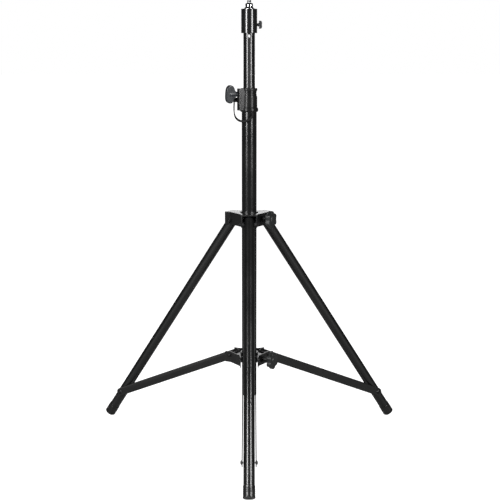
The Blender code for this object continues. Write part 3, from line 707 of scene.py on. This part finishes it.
pin_boss = lathe([(0, 0.034), (0.0085, 0.034), (0.0085, BOSS_ROOT), (0, BOSS_ROOT)], 48, 0.0007)
clamp_line = towards(CLAMP_ANGLE, CLAMP_HEIGHT)
pin_line = towards(PIN_ANGLE, PIN_HEIGHT)
collar = joined_and_cut(
    collar_body,
    [clamp_boss, moved(pin_boss, pin_line)],
    [
        plug(outer_radius + EASY_FIT, collar_bottom - 0.01, SOCKET_TOP, TUBE_STEPS),
        plug(inner_radius + EASY_FIT, SOCKET_TOP - 0.005, collar_top + 0.01, TUBE_STEPS),
        moved(plug(SCREW_BORE, 0.010, 0.050), clamp_line),
        moved(plug(PIN_BORE, 0.010, 0.050), pin_line),
    ],
)
cast_coat = powder_coat("cast_powder_coat", 0.0040, 0.25, 0.000012, 0.2)
piece("cast_collar", moved(collar, mast_axis), cast_coat, "mast", "clamp_collar")


def brass():
    """Turned brass, tarnished in patches. It is for the pad between the screw and the sliding tube."""
    made, shader, place = new_finish("turned_brass", (0.62, 0.45, 0.20), 0.32, 1.0)
    tarnish = noise(made, place, 200.0, 4.0)
    dulled = spread(made, tarnish, 0.4, 0.7, 0.0, 1.0)
    tone = blend_colour(made, dulled, (0.62, 0.45, 0.20), (0.35, 0.24, 0.12))
    made.node_tree.links.new(tone, shader.inputs["Base Color"])
    raise_by(made, shader, tarnish, 0.00002)
    return made


give_finish("clamp_pad", brass())


# ---- Clamp knob and screw ----
# Wing knob to turn by hand, moulded in blue-black nylon on a zinc-plated screw. The screw is threaded
# through the collar's square boss.

WING_TILT = math.radians(-8)
WING_HALF = 0.0075
WING_OUTLINE = [
    (0.0060, 0.0440),
    (0.0115, 0.0480),
    (0.0195, 0.0515),
    (0.0250, 0.0560),
    (0.0266, 0.0620),
    (0.0250, 0.0685),
    (0.0190, 0.0735),
    (0.0095, 0.0755),
    (0.0, 0.0757),
]


def rounded_outline(points, steps):
    """The points of a closed smooth curve through an outline."""
    corners = [Vector(point) for point in points]
    smooth = []
    for index in range(len(corners)):
        four = [corners[(index + step) % len(corners)] for step in (-1, 0, 1, 2)]
        smooth += curve_between(*four, steps)
    return smooth


knob_nylon = moulded_nylon("blue_black_nylon", (0.007, 0.0085, 0.0105), 0.40)
both_wings = WING_OUTLINE + [(-x, z) for x, z in reversed(WING_OUTLINE[:-1])]
wings = slab(rounded_outline(both_wings, 3), -WING_HALF, WING_HALF)
soften(wings, 0.0030, 5, 60.0)
moved(wings, Matrix.Rotation(math.pi / 2, 4, "X"))
knob_hub = lathe(
    [
        (0, 0.0700),
        (0.0050, 0.0697),
        (0.0075, 0.0685),
        (0.0089, 0.0655),
        (0.0092, 0.0620),
        (0.0089, 0.0560),
        (0.0085, 0.0500),
        (0.0078, 0.0440),
        (0.0070, 0.0390),
        (0.0066, 0.0385),
        (0, 0.0385),
    ],
    64,
)
wing_knob = joined_and_cut(knob_hub, [wings], [plug(SCREW_BORE, 0.030, 0.0563)])
moved(wing_knob, Matrix.Rotation(WING_TILT, 4, "Z"))
moved(wing_knob, mast_axis @ clamp_line @ Matrix.Rotation(math.pi, 4, "Z"))
piece("wing_knob", wing_knob, knob_nylon, "collar_clamp", "clamp_knob")


def threaded_rod(radius, low, high, pitch):
    """Screw with a turned thread, pointed a little at its inner end."""
    profile = [(0, high), (radius, high)]
    height = high - pitch
    while height > low + 2 * pitch:
        profile.append((radius, height))
        profile.append((radius - pitch * 0.45, height - pitch / 2))
        height -= pitch
    profile += [(radius, low + pitch), (radius - 0.0008, low), (0, low)]
    return lathe(profile, 32)


clamp_screw = threaded_rod(0.0050, 0.0198, 0.0560, 0.0015)
clamp_screw = moved(clamp_screw, mast_axis @ clamp_line)
piece("clamp_knob_screw", clamp_screw, black_zinc, "collar_clamp", "clamp_screw")


# ---- Safety pin ----
# Turned steel pin with a grooved head, zinc-plated. It goes into a cross hole of the sliding tube as a
# stop. The strap's moulded eye turns in the neck under the pin's end.

pin_place = mast_axis @ pin_line
pin_tip = inner_radius + 0.0005
safety_pin = lathe(
    [
        (0, 0.0490),
        (0.0050, 0.0490),
        (0.0058, 0.0486),
        (0.0060, 0.0481),
        (0.0058, 0.0476),
        (0.0040, 0.0476),
        (0.0040, 0.0446),
        (0.0062, 0.0446),
        (0.0068, 0.0439),
        (0.0068, 0.0418),
        (0.0062, 0.0412),
        (0.0062, 0.0402),
        (0.0068, 0.0396),
        (0.0068, 0.0374),
        (0.0062, 0.0362),
        (0.0054, 0.0350),
        (0.0054, 0.0343),
        (0.0045, 0.0343),
        (0.0045, pin_tip + 0.0013),
        (0.0033, pin_tip),
        (0, pin_tip),
    ],
    48,
)
piece("stop_pin", moved(safety_pin, pin_place), black_zinc, "pin", "safety_pin")
strap_eye = lathe(
    [
        (0.0074, 0.0473),
        (0.0080, 0.0467),
        (0.0080, 0.0456),
        (0.0074, 0.0449),
        (0.0048, 0.0449),
        (0.0043, 0.0453),
        (0.0043, 0.0469),
        (0.0048, 0.0473),
    ],
    48,
)
strap_eye = piece("strap_eye", moved(strap_eye, pin_place), strap_mesh.materials[0], "pin")


# ---- Upper bracket ----
# Folded and welded steel bracket, powder-coated. Its three pairs of ears carry the legs, and its collar
# slides on the outer tube.

FLAT_AREA = 0.00003
FLAT_BANDS = (EDGE_BAND / 2, EDGE_BAND / 5, EDGE_BAND / 12)
OVERLAP = 1.0005


def inset_faces(bm, faces, band):
    """Gives each face a narrow band inside its edges."""
    bmesh.ops.inset_individual(bm, faces=faces, thickness=band, use_even_offset=True)


def crossed(bm, faces):
    """The faces whose outline crosses itself, so that the triangles in them overlap."""
    covered = dict.fromkeys(faces, 0.0)
    for corners in bm.calc_loop_triangles():
        if corners[0].face in covered:
            a, b, c = (corner.vert.co for corner in corners)
            covered[corners[0].face] += (b - a).cross(c - a).length / 2
    return {face for face in faces if covered[face] > OVERLAP * face.calc_area()}


def refined(node, rounding):
    """The CAD node's own shape, with its flats joined up again and its edges rounded.

    A flat gets a band along its edges, so that wear stays near them. Where the band would cross itself,
    a narrower one is tried.
    """
    bm = bmesh.new()
    bm.from_mesh(frame["nodes"][node].data)
    bmesh.ops.remove_doubles(bm, verts=bm.verts, dist=1e-5)
    bmesh.ops.dissolve_limit(bm, angle_limit=math.radians(1.0), verts=bm.verts, edges=bm.edges)
    soften(bm, rounding)
    bm.faces.index_update()
    flats = [face.index for face in bm.faces if face.calc_area() > FLAT_AREA]
    for band in FLAT_BANDS:
        trial = bm.copy()
        trial.faces.ensure_lookup_table()
        tried = [trial.faces[index] for index in flats]
        inset_faces(trial, tried, band)
        crossing = crossed(trial, tried)
        spoilt = {index for index, face in zip(flats, tried) if face in crossing}
        trial.free()
        bm.faces.ensure_lookup_table()
        inset_faces(bm, [bm.faces[index] for index in flats if index not in spoilt], band)
        flats = sorted(spoilt)
    return bm


bracket_coat = powder_coat("bracket_powder_coat", 0.0035, 0.30, 0.00001)
piece("upper_spider", refined("upper_bracket", 0.0009), bracket_coat, "tripod_head", "upper_bracket")


# ---- Star knobs ----
# Moulded nylon knobs with six shallow lobes and a raised hub, on the zinc-plated screws that clamp the
# brackets to the mast.

STAR_ANGLE = 330.0
STAR_RADIUS = 0.0262
STAR_DEPTH = 0.0021
STAR_LOBES = 6
STAR_POINTS = 96
STAR_THICKNESS = 0.0150
STAR_SCREW_RADIUS = 0.0040
star_nylon = moulded_nylon("dark_grey_nylon", (0.008, 0.009, 0.009), 0.46)


def star_knob(neck, reach):
    """The knob along +Z, from its neck to its face, with a blind hole for its screw."""
    outline = []
    for number in range(STAR_POINTS):
        angle = math.tau * number / STAR_POINTS
        radius = STAR_RADIUS - STAR_DEPTH + STAR_DEPTH * math.cos(STAR_LOBES * angle)
        outline.append((radius * math.cos(angle), radius * math.sin(angle)))
    head_low, head_high = reach - 0.0020 - STAR_THICKNESS, reach - 0.0020
    head = slab(outline, head_low, head_high)
    soften(head, 0.0032, 4, 60.0)
    hub = lathe(
        [
            (0, reach),
            (0.0105, reach),
            (0.0118, reach - 0.0006),
            (0.0140, reach - 0.0040),
            (0.0138, head_low - 0.0010),
            (0.0120, head_low - 0.0030),
            (0.0088, head_low - 0.0075),
            (0.0085, neck),
            (0, neck),
        ],
        64,
    )
    return joined_and_cut(hub, [head], [plug(0.0043, neck - 0.005, reach - 0.0077)])


def place_star_knob(prefix, body):
    """The knob and screw fill the lengths of their CAD nodes along the clamp's own line."""
    joint = [item for item in frame["joints"] if item["child"] == body][0]
    out = Vector(joint["axis"])
    lay_out = mast_axis @ towards(STAR_ANGLE, joint["pos_m"][2])

    def ends(node):
        along = [out.dot(vert.co - mast_foot) for vert in frame["nodes"][node].data.vertices]
        return min(along), max(along)

    knob = star_knob(*ends(prefix + "_knob"))
    piece(prefix + "_star_knob", moved(knob, lay_out), star_nylon, body, prefix + "_knob")
    rod = threaded_rod(STAR_SCREW_RADIUS, *ends(prefix + "_screw"), THREAD_PITCH)
    piece(prefix + "_star_screw", moved(rod, lay_out), black_zinc, body, prefix + "_screw")


place_star_knob("upper", "upper_clamp")


# ---- Lower bracket ----
# Folded and welded steel bracket like the upper one, with three pairs of ears for the braces. It slides
# up the outer tube as the tripod folds, and its own star knob clamps it.

piece("lower_spider", refined("lower_bracket", 0.0009), bracket_coat, "brace_runner", "lower_bracket")
place_star_knob("lower", "lower_clamp")


# ---- Leg hinges ----
# Hexagon bolts and nuts through the ears of the upper bracket, with a steel spacer tube inside each leg.
# All are plated in black zinc.

ARMS = ("front", "left", "right")
joints = {item["name"]: item for item in frame["joints"]}
for arm in ARMS:
    for kind in ("leg_bolt_", "leg_nut_"):
        piece(kind + arm + "_made", refined(kind + arm, 0.0005), black_zinc, "tripod_head", kind + arm)
    give_finish("leg_spacer_" + arm, black_zinc)


# ---- Legs ----
# Drawn steel tubes, powder-coated, with a nylon plug in the top end. A moulded rubber foot is pushed on
# the lower end, with a lip, three grip rings, and a flat that it stands on.

LEG_LEAN = math.radians(35.12)
LEG_RADIUS = 0.0156
LEG_WALL = 0.0015
LEG_LENGTH = 0.8191
LEG_TOP = 0.0130
FOOT_RADIUS = 0.0171
FOOT_COVER = 0.0320
FOOT_SOLE = 0.0020
FOOT_BED = 0.0077
FOOT_RINGS = 3
FOOT_RING_PITCH = 0.0050
TUBE_SHORT = 0.0060
PLUG_END = 0.0056
SPACER_HOLE = 0.0053


def arm_place(joint_name, lean):
    """Carries a shape from its own axes to a hinge: X out along the arm, Y along the hinge's axis."""
    side = Vector(joints[joint_name]["axis"])
    out = side.cross(Vector((0, 0, 1)))
    turn = Matrix((out, side, Vector((0, 0, 1)))).transposed().to_4x4()
    return Matrix.Translation(joints[joint_name]["pos_m"]) @ turn @ Matrix.Rotation(lean, 4, "Y")


def leg_tube():
    """The tube along Z with the hinge at its origin, and the hole for the spacer through it."""
    end = -(LEG_LENGTH - TUBE_SHORT)
    tube = lathe(
        [
            (LEG_RADIUS - 0.0005, LEG_TOP),
            (LEG_RADIUS, LEG_TOP - 0.0005),
            (LEG_RADIUS, end),
            (LEG_RADIUS - LEG_WALL, end),
            (LEG_RADIUS - LEG_WALL, LEG_TOP),
        ],
        72,
    )
    hole = moved(plug(SPACER_HOLE, -0.03, 0.03), Matrix.Rotation(-math.pi / 2, 4, "X"))
    return joined_and_cut(tube, [], [hole])


def leg_plug():
    """The plug in the tube's top end, with a low dome that covers the tube's edge."""
    inner = LEG_RADIUS - LEG_WALL - EASY_FIT
    return lathe(
        [
            (0, LEG_TOP + 0.0021),
            (LEG_RADIUS - 0.0018, LEG_TOP + 0.0021),
            (LEG_RADIUS - 0.0005, LEG_TOP + 0.0015),
            (LEG_RADIUS, LEG_TOP + 0.0008),
            (LEG_RADIUS, LEG_TOP + EASY_FIT),
            (inner, LEG_TOP + EASY_FIT),
            (inner, PLUG_END),
            (0, PLUG_END),
        ],
        48,
    )


def rubber_foot(place):
    """Cup with a rolled lip, three grip rings and a flat where it meets the floor."""
    sole = -(LEG_LENGTH + FOOT_SOLE)
    lip = -(LEG_LENGTH - FOOT_COVER)
    profile = [
        (LEG_RADIUS + EASY_FIT, lip - 0.0004),
        (LEG_RADIUS + 0.0006, lip),
        (FOOT_RADIUS - 0.0007, lip),
        (FOOT_RADIUS - 0.0003, lip - 0.0006),
        (FOOT_RADIUS - 0.0003, lip - 0.0040),
        (FOOT_RADIUS - 0.0006, lip - 0.0046),
    ]
    for ring in range(FOOT_RINGS):
        top = lip - 0.0090 - FOOT_RING_PITCH * ring
        profile += [
            (FOOT_RADIUS - 0.0006, top),
            (FOOT_RADIUS - 0.0001, top - 0.0008),
            (FOOT_RADIUS - 0.0001, top - 0.0024),
            (FOOT_RADIUS - 0.0006, top - 0.0032),
        ]
    profile += [
        (FOOT_RADIUS - 0.0004, sole + 0.0050),
        (FOOT_RADIUS, sole + 0.0036),
        (FOOT_RADIUS, sole + 0.0014),
        (FOOT_RADIUS - 0.0005, sole + 0.0004),
        (FOOT_RADIUS - 0.0015, sole),
        (0, sole),
        (0, sole + FOOT_BED),
        (LEG_RADIUS + EASY_FIT, sole + FOOT_BED),
    ]
    bm = bmesh.new()
    verts = [bm.verts.new((radius, 0.0, height)) for radius, height in profile]
    edges = [bm.edges.new(pair) for pair in zip(verts, verts[1:] + verts[:1])]
    edges = [edge for edge in edges if max(vert.co.x for vert in edge.verts) > 0]
    bmesh.ops.spin(
        bm, geom=verts + edges, cent=(0, 0, 0), axis=(0, 0, 1), angle=math.tau, steps=64, use_merge=True
    )
    bmesh.ops.remove_doubles(bm, verts=bm.verts, dist=SAME_POINT)
    loose = [edge for edge in bm.edges if not edge.link_faces]
    bmesh.ops.delete(bm, geom=loose, context="EDGES")
    bmesh.ops.recalc_face_normals(bm, faces=bm.faces)
    moved(bm, place)
    cut = bmesh.ops.bisect_plane(
        bm,
        geom=bm.verts[:] + bm.edges[:] + bm.faces[:],
        plane_co=(0, 0, 0),
        plane_no=(0, 0, 1),
        clear_inner=True,
    )
    rim = [item for item in cut["geom_cut"] if isinstance(item, bmesh.types.BMEdge)]
    bmesh.ops.edgenet_fill(bm, edges=rim)
    bmesh.ops.recalc_face_normals(bm, faces=bm.faces)
    return bm


def rubber():
    """Moulded black rubber with a fine grain, greyed by dust in patches."""
    made, shader, place = new_finish("moulded_rubber", (0.005, 0.005, 0.005), 0.38)
    dust = noise(made, place, 80.0, 5.0)
    dusted = spread(made, dust, 0.42, 0.75, 0.0, 1.0)
    tone = blend_colour(made, dusted, (0.0035, 0.0035, 0.0035), (0.010, 0.0095, 0.009))
    made.node_tree.links.new(tone, shader.inputs["Base Color"])
    gloss = spread(made, dust, 0.3, 0.7, 0.25, 0.38)
    made.node_tree.links.new(gloss, shader.inputs["Roughness"])
    raise_by(made, shader, noise(made, place, 1300.0, 3.0), 0.00003)
    return made


foot_rubber = rubber()
for arm in ARMS:
    leg_place = arm_place("leg_" + arm + "_fold", -LEG_LEAN)
    body = "leg_" + arm
    piece("leg_" + arm + "_tube", moved(leg_tube(), leg_place), tube_coat, body, "leg_tube_" + arm)
    piece("leg_" + arm + "_top_plug", moved(leg_plug(), leg_place), black_nylon, body, "leg_plug_" + arm)
    piece("leg_" + arm + "_foot", rubber_foot(leg_place), foot_rubber, body, "foot_" + arm)


# ---- Braces ----
# Flat steel bars in pairs, one on each side of a leg, powder-coated like the brackets. They turn on a
# zinc-plated rivet through the lower bracket, and studs hold them at the leg.

BAR_FACE = 0.0204
STUD_RADIUS = 0.0030
RIVET_HEAD = 0.0054
RIVET_DOME = 0.0032


def domed_stud():
    """Bolt end beside the leg, along +Z: a shank through the bar under a domed head."""
    face = BAR_FACE + EASY_FIT
    return lathe(
        [
            (0, face + 0.0033),
            (0.0020, face + 0.0032),
            (0.0040, face + 0.0027),
            (0.0058, face + 0.0018),
            (0.0067, face + 0.0009),
            (0.0070, face),
            (STUD_RADIUS, face),
            (STUD_RADIUS, LEG_RADIUS + 0.0004),
            (0, LEG_RADIUS + 0.0004),
        ],
        48,
    )


def domed_rivet(ear_face):
    """The rivet along Z, with the same domed head outside each ear."""
    head = [
        (0, ear_face + RIVET_DOME),
        (0.0018, ear_face + 0.0031),
        (0.0034, ear_face + 0.0027),
        (0.0047, ear_face + 0.0019),
        (RIVET_HEAD, ear_face + 0.0010),
        (RIVET_HEAD, ear_face + EASY_FIT),
        (STUD_RADIUS, ear_face + EASY_FIT),
    ]
    return lathe(head + [(radius, -height) for radius, height in reversed(head)], 48)


to_side = Matrix.Rotation(-math.pi / 2, 4, "X")
for arm in ARMS:
    body = "brace_" + arm
    place = arm_place("brace_" + arm + "_fold", 0.0)
    for side in ("a", "b"):
        bar_node = "brace_bar_" + side + "_" + arm
        piece("brace_" + side + "_" + arm + "_bar", refined(bar_node, 0.0006), bracket_coat, body, bar_node)
        stud_node = "brace_stud_" + side + "_" + arm
        low, high = (Vector(corner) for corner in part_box(stud_node))
        flip = Matrix.Rotation(math.pi if side == "b" else 0.0, 4, "X")
        middle = (low + high) / 2
        along = (middle - place.translation).dot(place.col[0].to_3d())
        at_stud = place @ Matrix.Translation((along, 0, middle.z - place.translation.z))
        stud = moved(domed_stud(), at_stud @ flip @ to_side)
        piece("brace_" + side + "_" + arm + "_stud", stud, black_zinc, body, stud_node)
    rivet_node = "brace_rivet_" + arm
    hinge_line = place.col[1].to_3d()
    rivet_points = [vert.co - place.translation for vert in frame["nodes"][rivet_node].data.vertices]
    ear_face = max(abs(point.dot(hinge_line)) for point in rivet_points) - RIVET_DOME
    rivet = moved(domed_rivet(ear_face), place @ to_side)
    piece("brace_" + arm + "_rivet", rivet, black_zinc, "brace_runner", rivet_node)
    give_finish("brace_spacer_" + arm, black_zinc)


# ---- Studio ----
# A pale floor and a bright surround, two tall soft boxes that draw the pair of highlights down the tubes,
# and a wide panel behind that lights the edges.

BOX_DISTANCE = 2.6
BOX_LOW = 0.89
BOX_HIGH = 2.60
BACK_WIDTH = 4.0
BACK_HEIGHT = 0.9
BACK_PLACE = (0.0, 3.1, 1.45)
BACK_POWER = 28.0
FLOOR_HALF_SIDE = 60.0
LIGHT_GIVEN = 0.06
FLOOR_SEEN = 1.10
SURROUND_SEEN = 1.0


def panel(name, width, height, power):
    """A rectangular area light. Its place and turn are set after."""
    light = bpy.data.lights.new(name, "AREA")
    light.shape = "RECTANGLE"
    light.size = width
    light.size_y = height
    light.energy = power
    made = bpy.data.objects.new(name, light)
    bpy.context.scene.collection.objects.link(made)
    return made


def soft_box(name, angle, width, power):
    """A tall panel that faces the mast from an angle round it."""
    box = panel(name, width, BOX_HIGH - BOX_LOW, power)
    turn = math.radians(angle)
    out = Vector((math.cos(turn), math.sin(turn), 0.0))
    box.location = mast_foot + BOX_DISTANCE * out + Vector((0.0, 0.0, (BOX_LOW + BOX_HIGH) / 2))
    box.rotation_euler = (-out).to_track_quat("-Z", "Y").to_euler()


soft_box("left_box", 231.0, 0.42, 108.0)
soft_box("right_box", 312.0, 0.40, 90.0)
back_panel = panel("back_panel", BACK_WIDTH, BACK_HEIGHT, BACK_POWER)
back_panel.location = BACK_PLACE
back_panel.rotation_euler = (math.pi / 2, 0.0, math.pi)

bm = bmesh.new()
bmesh.ops.create_grid(bm, x_segments=1, y_segments=1, size=FLOOR_HALF_SIDE)
floor_mesh = bpy.data.meshes.new("floor")
bm.to_mesh(floor_mesh)
bm.free()
floor_finish, floor_shader, _ = new_finish("pale_floor", (0.30, 0.30, 0.30), 0.8)
seen = floor_finish.node_tree.nodes.new("ShaderNodeLightPath").outputs["Is Camera Ray"]
glow = spread(floor_finish, seen, 0.0, 1.0, LIGHT_GIVEN, FLOOR_SEEN)
floor_shader.inputs["Emission Color"].default_value = (1.0, 1.0, 1.0, 1.0)
floor_finish.node_tree.links.new(glow, floor_shader.inputs["Emission Strength"])
floor_mesh.materials.append(floor_finish)
floor = bpy.data.objects.new("floor", floor_mesh)
bpy.context.scene.collection.objects.link(floor)

world = bpy.data.worlds.new("studio")
world.use_nodes = True
bpy.context.scene.world = world
surround = world.node_tree.nodes["Background"]
surround.inputs["Color"].default_value = (1.0, 1.0, 1.0, 1.0)
path = world.node_tree.nodes.new("ShaderNodeLightPath")
level = spread(world, path.outputs["Is Camera Ray"], 0.0, 1.0, LIGHT_GIVEN, SURROUND_SEEN)
world.node_tree.links.new(level, surround.inputs["Strength"])

bpy.context.scene.view_settings.view_transform = "Standard"
bpy.context.scene.view_settings.look = "None"
